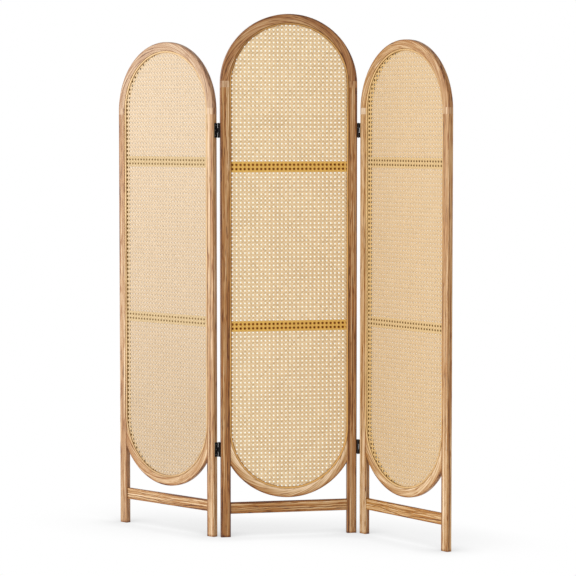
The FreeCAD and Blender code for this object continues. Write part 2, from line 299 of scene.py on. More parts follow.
@dataclass(frozen=True)
class PanelPlace:
    """Where a panel stands and which way it faces, read from its cane sheet.

    Attributes:
        side: Which panel it is.
        middle: The middle of the sheet on plan.
        across: Unit vector from the panel's left to its right.
        out: Unit vector out of its front.
        half_width: Half the sheet's width, and the radius of its round ends.
        low: Height of the lower round end's centre.
        high: Height of the upper round end's centre.
        thickness: The sheet's thickness.
    """

    side: Side
    middle: np.ndarray
    across: np.ndarray
    out: np.ndarray
    half_width: float
    low: float
    high: float
    thickness: float

    @classmethod
    def of(cls, side: Side) -> "PanelPlace":
        """Read a panel's place from the frame.

        Args:
            side: Which panel to read.

        Returns:
            The panel's place.
        """
        corners = node_corners(side.value + "_cane_webbing")
        plan = corners[:, :2]
        across = np.linalg.svd(plan - plan.mean(0), full_matrices=False)[2][0]
        across = across * np.sign(across[0])
        out = np.array((across[1], -across[0]))
        runs = plan @ np.array((across, out)).T
        least, most = runs.min(0), runs.max(0)
        half_width = (most[0] - least[0]) / 2
        centre = (least + most) / 2
        return cls(
            side=side,
            middle=centre[0] * across + centre[1] * out,
            across=across,
            out=out,
            half_width=half_width,
            low=corners[:, 2].min() + half_width,
            high=corners[:, 2].max() - half_width,
            thickness=most[1] - least[1],
        )

    @property
    def turn(self) -> float:
        """Angle from the frame's X axis to the panel's own."""
        return math.atan2(self.across[1], self.across[0])

    def corners(self, node: str) -> np.ndarray:
        """Measure a CAD node's corners on the panel's own axes.

        Args:
            node: The node's name, without the panel's.

        Returns:
            One row for each corner: across, out and up.
        """
        found = node_corners(f"{self.side.value}_{node}")
        plan = found[:, :2] - self.middle
        return np.column_stack((plan @ self.across, plan @ self.out, found[:, 2]))

    def reach(self, node: str) -> tuple[float, float]:
        """Measure how near to the line between the round ends' centres a CAD node comes, and how far off.

        Args:
            node: The node's name, without the panel's.

        Returns:
            The shortest and the longest distance.
        """
        run, _, rise = self.corners(node).T
        reaches = np.hypot(run, rise - np.clip(rise, self.low, self.high))
        return reaches.min(), reaches.max()

    def centre(self, shape: Shape) -> float:
        """Give the height of the centre of an arc over or under the cane."""
        return self.high if shape is Shape.ARCH else self.low

    def points(self, run: np.ndarray, rise: np.ndarray, depth: np.ndarray) -> np.ndarray:
        """Place points of a panel in the frame.

        Args:
            run: Distance across the panel from its mid-line.
            rise: Height above the floor.
            depth: Distance out from the middle of the cane sheet.

        Returns:
            One row of three coordinates for each point.
        """
        plan = self.middle + np.outer(run, self.across) + np.outer(depth, self.out)
        return np.column_stack((plan, rise))


class PanelShading(Shading):
    """A material on the axes of the panel that wears it: across, back from the cane, and up."""

    def __init__(self, name: str, place: PanelPlace) -> None:
        """Start a material on a panel's axes.

        Args:
            name: The material's name.
            place: Where the panel stands.
        """
        super().__init__(name)
        self.place = place
        point = self.add("ShaderNodeTexCoord").outputs["Object"]
        shift = (-place.middle @ place.across, place.middle @ place.out, 0.0)
        own = self.add("ShaderNodeMapping", point, shift, (0.0, 0.0, -place.turn)).outputs[0]
        self.across, self.back, self.up = self.add("ShaderNodeSeparateXYZ", own).outputs

    def away(self, aside: float = 0.0) -> Socket:
        """Measure how far a point is from the line between the round ends' centres.

        Args:
            aside: How far the line is moved to the panel's right.

        Returns:
            The distance.
        """
        held = self.math("MINIMUM", self.math("MAXIMUM", self.up, self.place.low), self.place.high)
        return self.hypot(self.math("SUBTRACT", self.up, held), self.math("SUBTRACT", self.across, aside))


@dataclass(frozen=True)
class Marks:
    """One kind of mark in wood or reed: noise that is stretched along the fibres.

    Attributes:
        across: Steps of noise in one metre across the fibres.
        along: Steps in one metre along them.
        detail: How many finer layers the noise has.
        weight: How much the marks count.
        least: Where in the noise a mark begins.
        most: Where it is full.
        mean: What is taken off the marks, so that they go both ways.
    """

    across: float
    along: float
    detail: float
    weight: float
    least: float = 0.0
    most: float = 1.0
    mean: float = 0.0

    def draw(self, shading: Shading, place: Socket) -> Socket:
        """Draw the marks.

        Args:
            shading: The material.
            place: Place in the piece, with its third axis along the fibres.

        Returns:
            The marks.
        """
        noise = shading.noise(place, (self.across, self.across, self.along), self.detail)
        return shading.spread(noise, self.least, self.most, -self.mean, 1.0 - self.mean)


@dataclass(frozen=True)
class BoardTone:
    """How a board looks.

    Attributes:
        depth: Its general tone, from 0, pale, to 1, dark.
        inner_lift: How much paler an arc is along its inner edge than along its outer one.
        end_lift: How much paler it is at its right or upper end than at the other one.
        edge: How much darker its edges are, as painted shade.
        groove: How much darker the line is where it meets the bead, as painted shadow in the gap there.
        figure: How strongly its grain stands out.
        slant: How much the fibres of an arc slant off it.
        richness: How strong its colour is, 1 for that of the palette.
        sheen: How much light its lacquer throws back.
        stain: How much darker its front is behind the cane, as painted shade.
    """

    depth: float
    inner_lift: float = 0.0
    end_lift: float = 0.0
    edge: float = 0.28
    groove: float = 0.0
    figure: float = 1.0
    slant: float = 0.12
    richness: float = 1.0
    sheen: float = 0.4
    stain: float = 0.0


@dataclass(frozen=True)
class WoodFinish:
    """Open-pored wood under a satin lacquer, with growth rings, streaks and pores.

    Attributes:
        name: The material's name.
        place: The panel whose axes the grain follows.
        shape: How the board lies in the panel.
        tone: How the board looks.
        seed: Moves the figure, so that no two boards match.
        low: Where the board's one long edge is: across the panel, up, or out from an arc's centre.
        high: Where its other long edge is.
        ring_width: Distance from one growth ring to the next.
        pith_aside: How far aside of the board the tree's heart lay.
        pith_behind: How far behind the board it lay.
        edge_width: Width of the stripe of painted shade along each long edge.
        groove_width: Width of the painted shadow along the bead.
        wall_width: How far the painted shade of the wall behind the cane goes into the board.
        wall_fade: Height over which that painted shade begins on a stile, below the cane.
        foot_height: How far up a foot is darker, as painted shade where it meets the floor.
        blend_width: Half the width over which the tones of a board's two ends meet.
        pore_depth: Depth of the open pores.
    """

    name: str
    place: PanelPlace
    shape: Shape
    tone: BoardTone
    seed: float
    low: float
    high: float
    ring_width: float = 5.5 * MM
    pith_aside: float = 52 * MM
    pith_behind: float = 34 * MM
    edge_width: float = 6 * MM
    groove_width: float = 3.5 * MM
    wall_width: float = 0.5 * MM
    wall_fade: float = 100 * MM
    foot_height: float = 9 * MM
    blend_width: float = 60 * MM
    pore_depth: float = 0.25 * MM

    RING_WEIGHT = 0.95
    RING_MEAN = 0.15
    FAINTEST_RING = 0.05
    ARC_FIGURE = 0.65
    STRAIGHT_FIGURE = 1.4
    WALL_SHADE = 0.6
    FOOT_SHADE = 0.5
    PORE_SHARE = 0.7
    RELIEF = 0.35
    LATE_ROUGHNESS = 0.38
    EARLY_ROUGHNESS = 0.54
    PALETTE_START = 0.2
    PALETTE_SHARE = 0.8
    PALETTE = (
        (0.00, linear(240, 213, 181)),
        (0.20, linear(216, 185, 146)),
        (0.44, linear(181, 139, 93)),
        (0.68, linear(157, 104, 56)),
        (1.00, linear(86, 42, 8)),
    )
    RING = ((0.0, grey(1.0)), (0.14, grey(0.6)), (0.42, grey(0.05)), (0.94, grey(0.1)))
    STRAY = Marks(across=6, along=1.6, detail=3, weight=26 * MM, mean=0.5)
    BEAM_STRAY = Marks(across=6, along=4.2, detail=3, weight=52 * MM, mean=0.5)
    STREAKS = Marks(across=130, along=1.6, detail=3, weight=1.2, mean=0.5)
    ARC_STREAKS = Marks(across=130, along=7.0, detail=3, weight=1.2, mean=0.5)
    FIBRES = Marks(across=420, along=7.0, detail=2, weight=1.2, mean=0.5)
    FLECKS = Marks(across=300, along=20.0, detail=1, weight=0.5, least=0.57, most=0.70)
    PORES = Marks(across=1500, along=60.0, detail=1, weight=0.10, least=0.60, most=0.72)

    def build(self) -> bpy.types.Material:
        """Make the material.

        Returns:
            The material.
        """
        shading = PanelShading(self.name, self.place)
        crossing = self.crossing(shading)
        along, aside = self.grain(shading, crossing)
        moved = shading.math("ADD", along, self.seed)
        board = shading.add("ShaderNodeCombineXYZ", aside, shading.back, moved).outputs[0]

        arc = self.shape in (Shape.ARCH, Shape.BOWL)
        figure = self.tone.figure * (self.ARC_FIGURE if arc else self.STRAIGHT_FIGURE)
        streaks = self.ARC_STREAKS if arc else self.STREAKS
        rings = self.rings(shading, board, aside)
        fibres = self.FIBRES.draw(shading, board)
        pores = self.PORES.draw(shading, board)
        shade = shading.weigh(
            self.tone.depth,
            *self.drifts(shading, crossing),
            (streaks.draw(shading, board), streaks.weight * figure),
            (shading.math("SUBTRACT", rings, self.RING_MEAN), self.RING_WEIGHT * figure),
            (fibres, self.FIBRES.weight),
            (self.FLECKS.draw(shading, board), self.FLECKS.weight),
            (pores, self.PORES.weight),
        )
        shading.bump(shading.weigh(fibres, (pores, -self.PORE_SHARE)), self.RELIEF, self.pore_depth)
        place = shading.math("MULTIPLY_ADD", shade, self.PALETTE_SHARE, self.PALETTE_START)
        shading.set(
            base_color=shading.enrich(shading.ramp(place, self.PALETTE), self.tone.richness),
            roughness=shading.spread(rings, 0.0, 1.0, self.LATE_ROUGHNESS, self.EARLY_ROUGHNESS),
            specular_ior_level=self.tone.sheen,
        )
        return shading.material

    @property
    def middle(self) -> float:
        """Place halfway between the board's long edges."""
        return (self.low + self.high) / 2

    def crossing(self, shading: PanelShading) -> Socket:
        """Find where a point lies between the board's two long edges.

        Args:
            shading: The material.

        Returns:
            The place, measured as low and high are.
        """
        if self.shape is Shape.POST:
            return shading.math("ABSOLUTE", shading.across)
        if self.shape is Shape.BEAM:
            return shading.up
        rise = shading.math("SUBTRACT", shading.up, self.place.centre(self.shape))
        return shading.hypot(rise, shading.across)

    def grain(self, shading: PanelShading, crossing: Socket) -> tuple[Socket, Socket]:
        """Find a point's place along the fibres and across them.

        Args:
            shading: The material.
            crossing: Where the point lies between the long edges.

        Returns:
            The places along and across. On an arc the fibres follow it and slant a little.
        """
        if self.shape is Shape.POST:
            return shading.up, crossing
        if self.shape is Shape.BEAM:
            return shading.across, crossing
        rise = shading.math("SUBTRACT", shading.up, self.place.centre(self.shape))
        if self.shape is Shape.BOWL:
            rise = shading.math("MULTIPLY", rise, -1.0)
        angle = shading.math("ARCTAN2", shading.across, rise)
        along = shading.math("MULTIPLY", angle, self.middle)
        return along, shading.weigh(crossing, (along, self.tone.slant))

    def rings(self, shading: PanelShading, board: Socket, aside: Socket) -> Socket:
        """Draw the growth rings where the board cuts them.

        Args:
            shading: The material.
            board: Place in the board, with its third axis along the fibres.
            aside: Place across the board.

        Returns:
            A value from 0 in the pale late wood to 1 in the dark early wood.
        """
        stray = self.BEAM_STRAY if self.shape is Shape.BEAM else self.STRAY
        offset = shading.weigh(self.pith_aside - self.middle, (stray.draw(shading, board), stray.weight))
        reach = shading.math("ADD", aside, offset)
        behind = shading.math("ADD", shading.back, self.pith_behind)
        count = shading.math("DIVIDE", shading.hypot(reach, behind), self.ring_width)
        dark = shading.ramp(shading.math("FRACT", count), self.RING)
        odd = shading.add("ShaderNodeTexWhiteNoise", noise_dimensions="1D")
        shading.feed(odd.inputs["W"], shading.math("FLOOR", shading.math("ADD", count, self.seed)))
        strength = shading.spread(odd.outputs[0], 0.0, 1.0, self.FAINTEST_RING, 1.0)
        return shading.math("MULTIPLY", dark, strength)

    def drifts(self, shading: PanelShading, crossing: Socket) -> list[tuple[Value, Value]]:
        """List what makes the board darker or paler from place to place, painted shade among it.

        Args:
            shading: The material.
            crossing: Where a point lies between the long edges.

        Returns:
            Values and their weights, to be added to the board's general tone.
        """
        post = self.shape is Shape.POST
        sheet = self.place.thickness
        blend = self.blend_width
        ends = (shading.up, 0.0, self.place.high) if post else (shading.across, -blend, blend)
        drifts = [
            (self.edges(shading, crossing), 1.0),
            (shading.spread(*ends, -0.5, 0.5), -self.tone.end_lift),
            # Painted shade on a rail's front, behind the cane.
            (shading.spread(shading.back, sheet, 2 * sheet, 1.0, 0.0), self.tone.stain),
            (shading.spread(crossing, self.low, self.high, 0.5, -0.5), -self.tone.inner_lift),
        ]
        if self.shape is Shape.BEAM:
            return drifts
        # Painted shade on the wall behind the cane, where little light reaches.
        hidden = shading.spread(shading.back, sheet / 2, 2 * sheet, 0.0, self.WALL_SHADE)
        if post:
            beside = shading.spread(shading.up, self.place.low - self.wall_fade, self.place.low, 0.0, 1.0)
            hidden = shading.math("MULTIPLY", hidden, beside)
            # Painted shade at the foot, where it meets the floor.
            drifts.append((shading.spread(shading.up, 0.0, self.foot_height, 1.0, 0.0), self.FOOT_SHADE))
        wall = shading.spread(crossing, self.low, self.low + self.wall_width, 1.0, 0.0)
        return [*drifts, (wall, hidden)]

    def edges(self, shading: PanelShading, crossing: Socket) -> Socket:
        """Paint shade on the board's long edges and a shadow on the line where it meets the bead.

        Args:
            shading: The material.
            crossing: Where a point lies between the long edges.

        Returns:
            How much darker the board is.
        """
        width, fade = self.edge_width, self.edge_width / 2
        # Painted shade along both long edges.
        near = shading.spread(crossing, self.low + fade, self.low + width, self.tone.edge, 0.0)
        far = shading.spread(crossing, self.high - width, self.high - fade, 0.0, self.tone.edge)
        # Painted shadow in the gap where the board meets the bead.
        bead, line = self.place.reach("cane_bead")[1], self.groove_width
        groove = shading.spread(crossing, bead + line / 2, bead + line, self.tone.groove, 0.0)
        return shading.math("MAXIMUM", shading.math("MAXIMUM", near, far), groove)


@dataclass(frozen=True)
class HoleGrid:
    """Where the openings of a woven sheet are.

    Attributes:
        aside: How far a column of openings is from the panel's mid-line.
        rise: Height of a row of openings.
        pitch: Distance from one opening to the next.
    """

    aside: float
    rise: float
    pitch: float = 14.42 * MM

    @classmethod
    def over(cls, place: PanelPlace, aside: float) -> "HoleGrid":
        """Lay the grid so that two rows of openings lie over the lower cross rail.

        Args:
            place: Where the panel stands.
            aside: How far a column of openings is from the panel's mid-line.

        Returns:
            The grid.
        """
        heights = place.corners("lower_cross_rail")[:, 2]
        return cls(aside, (heights.min() + heights.max() + cls.pitch) / 2)


@dataclass(frozen=True)
class CaneLook:
    """Colours and strand widths of one panel's cane.

    Attributes:
        pale: Colour of the palest strands.
        deep: Colour of the deepest ones.
        glued: Colour of the strands over a rail, deeper and more golden: painted shade where the rail keeps
            the light from behind off them.
        rim: How dark the painted shade round the openings is there, from 0 to 1.
        rim_reach: How far from an opening's middle that painted shade goes, as a share of half the pitch.
        rim_colour: Colour of that painted shade.
        stain: How far in from the frame's left side the strands carry painted shade.
        stain_gold: How golden that painted shade is, from 0 to 1.
        seam: How dark the painted shadow along the bead is in that fringe, from 0 to 1.
        fade: How much deeper the strands are at the panel's foot than at its top.
        pair_width: Width of a paired strand.
        diagonal_width: Width of a diagonal strand.
        pair_gap: Gap between the two strands of a pair.
        stain_rim: How dark the painted shade in the openings is along the frame's left side, from 0 to 1.
        worn: How much paler the strands are round an opening, as painted light, from 0 to 1.
        aside: How far a column of openings is from the panel's mid-line.
        contrast: How much deeper the diagonal strands are, from 0 to 1.
        variety: How much the strands differ in shade, from 0 to 1.
    """

    pale: Colour
    deep: Colour
    glued: Colour
    rim: float
    rim_reach: float
    rim_colour: Colour
    stain: float
    stain_gold: float
    seam: float
    fade: float
    pair_width: float
    diagonal_width: float
    pair_gap: float = 0.4 * MM
    stain_rim: float = 0.95
    worn: float = 0.0
    aside: float = 3.1 * MM
    contrast: float = 0.10
    variety: float = 0.2


@dataclass(frozen=True)
class CaneFinish:
    """Glossy skin of split cane, each strand in a shade of its own, with painted light and shade round its
    openings, over the rails and along the frame.

    Attributes:
        name: The material's name.
        place: The panel that the cane fills.
        grid: Where its openings are.
        look: Its colours.
        stain_colour: Colour of the strands in the painted shade along the frame's left side.
        worn_colour: Colour of the strands where painted light pales them round an opening.
        fibre_depth: Depth of the fibres.
        seam_width: Width of the painted shadow along the bead.
        blur: Half the width over which a band or the painted shade along the left side ends.
        roughness: How dull the skin is.
    """

    name: str
    place: PanelPlace
    grid: HoleGrid
    look: CaneLook
    stain_colour: Colour = linear(226, 180, 88)
    worn_colour: Colour = linear(255, 233, 172)
    fibre_depth: float = 0.05 * MM
    seam_width: float = 2.4 * MM
    blur: float = 2 * MM
    roughness: float = 0.38

    FIBRE_STEPS = (30.0, 1600.0, 1.0)
    FIBRE_WEIGHT = 0.30
    BLOTCH_STEPS = (9.0, 120.0, 1.0)
    BLOTCH_WEIGHT = 0.40
    WORN_REACH = (0.40, 0.70)
    RIM_FADE = 0.36
    STAIN_RIM_REACH = (0.50, 0.72)
    RELIEF = 0.25
    UNEVENNESS = 0.06
    SHEEN = 0.12

    def build(self) -> bpy.types.Material:
        """Make the material.

        Returns:
            The material.
        """
        shading, look = PanelShading(self.name, self.place), self.look
        tone = shading.add("ShaderNodeAttribute", attribute_name="strand_tone").outputs["Fac"]
        run = shading.add("ShaderNodeAttribute", attribute_name="strand_run").outputs["Vector"]
        fibres = shading.noise(run, self.FIBRE_STEPS)
        blotches = shading.noise(run, self.BLOTCH_STEPS)
        shade = shading.weigh(
            shading.math("SUBTRACT", tone, (self.FIBRE_WEIGHT + self.BLOTCH_WEIGHT) / 2),
            (fibres, self.FIBRE_WEIGHT),
            (blotches, self.BLOTCH_WEIGHT),
            (shading.spread(shading.up, self.place.low, self.place.high, 0.5, -0.5), look.fade),
        )
        colour = shading.ramp(shade, ((0.0, look.pale), (1.0, look.deep)))

        away = self.off_opening(shading)
        bands, stained = self.bands(shading), self.stained(shading)
        # Painted light: the strands pale round each opening, for the light that comes through from behind.
        worn = shading.spread(away, *self.WORN_REACH, look.worn, 0.0)
        colour = shading.blend(worn, colour, self.worn_colour)
        # Painted shade along the frame's left side: the strands turn golden there.
        colour = shading.blend(shading.math("MULTIPLY", stained, look.stain_gold), colour, self.stain_colour)
        # Painted shade over the rails: deeper, golden strands where a rail keeps the light from behind off
        # them.
        colour = shading.blend(bands, colour, look.glued)

        # Painted shade round the openings over a rail.
        rim_shades = shading.spread(away, look.rim_reach - self.RIM_FADE, look.rim_reach, look.rim, 0.0)
        # Painted shade in the openings along the frame's left side.
        fringe_rim_shades = shading.spread(away, *self.STAIN_RIM_REACH, look.stain_rim, 0.0)
        # Painted shadow along the bead, within that fringe.
        fringe_rim_shades = shading.math("MAXIMUM", fringe_rim_shades, self.seam(shading))
        over_rails = shading.math("MULTIPLY", bands, rim_shades)
        dark = shading.math("MAXIMUM", over_rails, shading.math("MULTIPLY", stained, fringe_rim_shades))
        shading.bump(fibres, self.RELIEF, self.fibre_depth)
        shading.set(
            base_color=shading.blend(dark, colour, look.rim_colour),
            roughness=shading.uneven(blotches, self.roughness, self.UNEVENNESS),
            specular_ior_level=self.SHEEN,
        )
        return shading.material

    def bands(self, shading: PanelShading) -> Socket:
        """Mark the bands where a cross rail lies behind the cane.

        Args:
            shading: The material.

        Returns:
            1 on the rails and 0 off them.
        """
        shares = []
        for rail in ("lower_cross_rail", "upper_cross_rail"):
            heights = self.place.corners(rail)[:, 2]
            middle, reach = (heights.min() + heights.max()) / 2, (heights.max() - heights.min()) / 2
            away = shading.math("ABSOLUTE", shading.math("SUBTRACT", shading.up, middle))
            shares.append(shading.spread(away, reach - self.blur, reach + self.blur, 1.0, 0.0))
        return shading.math("MAXIMUM", *shares)

    def stained(self, shading: PanelShading) -> Socket:
        """Mark the painted shade along the frame's left side, 1 in it and 0 off it."""
        wall = self.place.reach("arch")[0]
        return shading.spread(shading.away(self.look.stain), wall - self.blur, wall + self.blur, 0.0, 1.0)

    def seam(self, shading: PanelShading) -> Socket:
        """Mark how dark the painted shadow is where the bead meets the cane."""
        end = self.place.reach("cane_bead")[0] - self.seam_width / 2
        return shading.spread(shading.away(), end - self.seam_width / 2, end, 0.0, self.look.seam)

    def off_opening(self, shading: PanelShading) -> Socket:
        """Measure how far a point is from the middle of the nearest opening.

        Args:
            shading: The material.

        Returns:
            The distance, as a share of half the pitch.
        """
        half = self.grid.pitch / 2
        aside = shading.math("PINGPONG", shading.math("SUBTRACT", shading.across, self.grid.aside), half)
        above = shading.math("PINGPONG", shading.math("SUBTRACT", shading.up, self.grid.rise), half)
        return shading.math("DIVIDE", shading.hypot(aside, above), half)


@dataclass(frozen=True)
class ReedLook:
    """Colours of one panel's bead.

    Attributes:
        pale: Colour of its pale streaks.
        deep: Colour of its deep ones.
        lean: How much deeper it is on the panel's right than on its left, as painted light and shade.
        rise: How much deeper it is at the panel's top than at its foot.
    """

    pale: Colour
    deep: Colour
    lean: float
    rise: float


@dataclass(frozen=True)
class ReedFinish:
    """Golden reed, streaked along the bead.

    Attributes:
        name: The material's name.
        place: The panel that the bead runs round.
        look: Its colours.
        streak_depth: Depth of the streaks.
    """

    name: str
    place: PanelPlace
    look: ReedLook
    streak_depth: float = 0.15 * MM

    # Painted shade along both edges of the bead, where it meets the frame and the cane.
    EDGE = 0.7
    TURN_SHARE = 0.4
    PALE_AT = 0.15
    DEEP_AT = 0.90
    RELIEF = 0.3
    ROUGHNESS = 0.41
    UNEVENNESS = 0.07
    SHEEN = 0.4
    STREAKS = Marks(across=520, along=5.0, detail=3, weight=1.1)
    BLOTCHES = Marks(across=60, along=11.0, detail=2, weight=1.0, mean=0.75)

    def build(self) -> bpy.types.Material:
        """Make the material.

        Returns:
            The material.
        """
        shading = PanelShading(self.name, self.place)
        radius = shading.away()
        lengthwise = shading.weigh(shading.up, (shading.across, self.TURN_SHARE))
        strip = shading.add("ShaderNodeCombineXYZ", radius, shading.back, lengthwise).outputs[0]
        streaks = self.STREAKS.draw(shading, strip)
        blotches = self.BLOTCHES.draw(shading, strip)
        inner, outer = self.place.reach("cane_bead")
        half = (outer - inner) / 2
        off_middle = shading.math("ABSOLUTE", shading.math("SUBTRACT", radius, (inner + outer) / 2))
        foot, top = self.place.low - outer, self.place.high + outer
        shade = shading.weigh(
            0.0,
            (blotches, self.BLOTCHES.weight),
            (streaks, self.STREAKS.weight),
            (shading.spread(off_middle, half / 2, half, 0.0, 1.0), self.EDGE),
            # Painted light and shade: the bead is lit on one side of the panel and shaded on the other.
            (shading.spread(shading.across, -outer, outer, -0.5, 0.5), self.look.lean),
            (shading.spread(shading.up, foot, top, -0.5, 0.5), self.look.rise),
        )
        shading.bump(streaks, self.RELIEF, self.streak_depth)
        shading.set(
            base_color=shading.ramp(shade, ((self.PALE_AT, self.look.pale), (self.DEEP_AT, self.look.deep))),
            roughness=shading.uneven(streaks, self.ROUGHNESS, self.UNEVENNESS),
            specular_ior_level=self.SHEEN,
        )
        return shading.material


@dataclass(frozen=True)
class MetalFinish:
    """Hinge steel, bare or blackened, with a fine uneven surface.

    Attributes:
        name: The material's name.
        colour: Its general colour.
        worn: Its colour where it is rubbed.
        metallic: 1 for bare metal and 0 for paint.
        roughness: How dull it is.
        grain: Steps of unevenness in one metre.
        grain_depth: Depth of the grain.
    """

    name: str
    colour: Colour
    worn: Colour
    metallic: float
    roughness: float
    grain: float = 900.0
    grain_depth: float = 0.05 * MM

    UNEVENNESS = 0.08
    PATCH = 8.0
    RUBBING = (0.62, 0.80)
    RELIEF = 0.2
    SHEEN = 0.3

    def build(self) -> bpy.types.Material:
        """Make the material.

        Returns:
            The material.
        """
        shading = Shading(self.name)
        place = shading.add("ShaderNodeTexCoord").outputs["Object"]
        speckle = shading.noise(place, (self.grain,) * 3, 3.0)
        patches = shading.noise(place, (self.grain / self.PATCH,) * 3, 4.0)
        rubbed = shading.spread(patches, *self.RUBBING, 0.0, 1.0)
        shading.bump(speckle, self.RELIEF, self.grain_depth)
        shading.set(
            base_color=shading.ramp(rubbed, ((0.0, self.colour), (1.0, self.worn))),
            roughness=shading.uneven(speckle, self.roughness, self.UNEVENNESS),
            metallic=self.metallic,
            specular_ior_level=self.SHEEN,
        )
        return shading.material


@dataclass(frozen=True)
class PanelTones:
    """Tones of the boards of one panel, by the piece's name."""

    left_stile: BoardTone
    right_stile: BoardTone
    left_splice_block: BoardTone
    right_splice_block: BoardTone
    arch: BoardTone
    lower_arc: BoardTone
    bottom_rail: BoardTone
    # Their fronts behind the cane carry painted shade.
    lower_cross_rail: BoardTone = BoardTone(0.5, sheen=0.05, stain=0.6)
    upper_cross_rail: BoardTone = BoardTone(0.5, sheen=0.05, stain=0.6)


@dataclass
class PanelFrame:
    """Wooden frame of one panel with its dowels and the bead that holds the cane.

    Attributes:
        place: Where the panel stands.
        tones: How its boards look.
        reed: Colours of its bead.
        seed: Where the figure of its first board begins.
        seed_step: How far apart the figures of its boards begin.
        peg_tone: How its dowels look.
        peg_edges: Heights far off the dowels, so that no painted shade of an edge falls on them.
    """

    place: PanelPlace
    tones: PanelTones
    reed: ReedLook
    seed: float
    seed_step: float = 3.7
    peg_tone: BoardTone = BoardTone(0.1)
    peg_edges: tuple[float, float] = (-1.0, 3.0)

    SHAPES = {
        "stile": Shape.POST,
        "block": Shape.POST,
        "rail": Shape.BEAM,
        "arch": Shape.ARCH,
        "arc": Shape.BOWL,
    }

    def dress(self) -> None:
        """Give every piece of the frame its finish."""
        place, prefix = self.place, self.place.side.value + "_"
        for number, piece in enumerate(fields(self.tones)):
            tone, seed = getattr(self.tones, piece.name), self.seed + number * self.seed_step
            dress(prefix + piece.name, self.wood(piece.name, tone, seed).build())
        pegs = (prefix + "dowel_wood", place, Shape.BEAM, self.peg_tone, self.seed)
        dress(prefix + "dowels", WoodFinish(*pegs, *self.peg_edges).build())
        dress(prefix + "cane_bead", ReedFinish(prefix + "reed", place, self.reed).build())

    def wood(self, piece: str, tone: BoardTone, seed: float) -> WoodFinish:
        """Choose the finish of a board.

        Args:
            piece: The board's name, without the panel's.
            tone: How it looks.
            seed: Where its figure begins.

        Returns:
            The finish.
        """
        shape = self.SHAPES[piece.split("_")[-1]]
        run, _, rise = self.place.corners(piece).T
        if shape is Shape.POST:
            reach = np.abs(run)
        elif shape is Shape.BEAM:
            reach = rise
        else:
            reach = np.hypot(run, rise - self.place.centre(shape))
        name = f"{self.place.side.value}_{piece}_wood"
        return WoodFinish(name, self.place, shape, tone, seed, reach.min(), reach.max())


@dataclass
class Strand:
    """One strand of cane, as a straight line on its panel that rises and dips through the weave.

    Attributes:
        start: A point on the line, across the panel and up.
        heading: Unit vector along it, across the panel and up.
        width: The strand's width.
        period: Distance along it after which the weave repeats.
        knots: Places along one period where the weave turns, measured from start.
        levels: How far out of the sheet the strand is there, in strand thicknesses.
        shade: Its general shade, from 0, pale, to 1, deep.
        variety: How far its own shade may be from that.
    """

    start: np.ndarray
    heading: np.ndarray
    width: float
    period: float
    knots: np.ndarray
    levels: np.ndarray
    shade: float
    variety: float


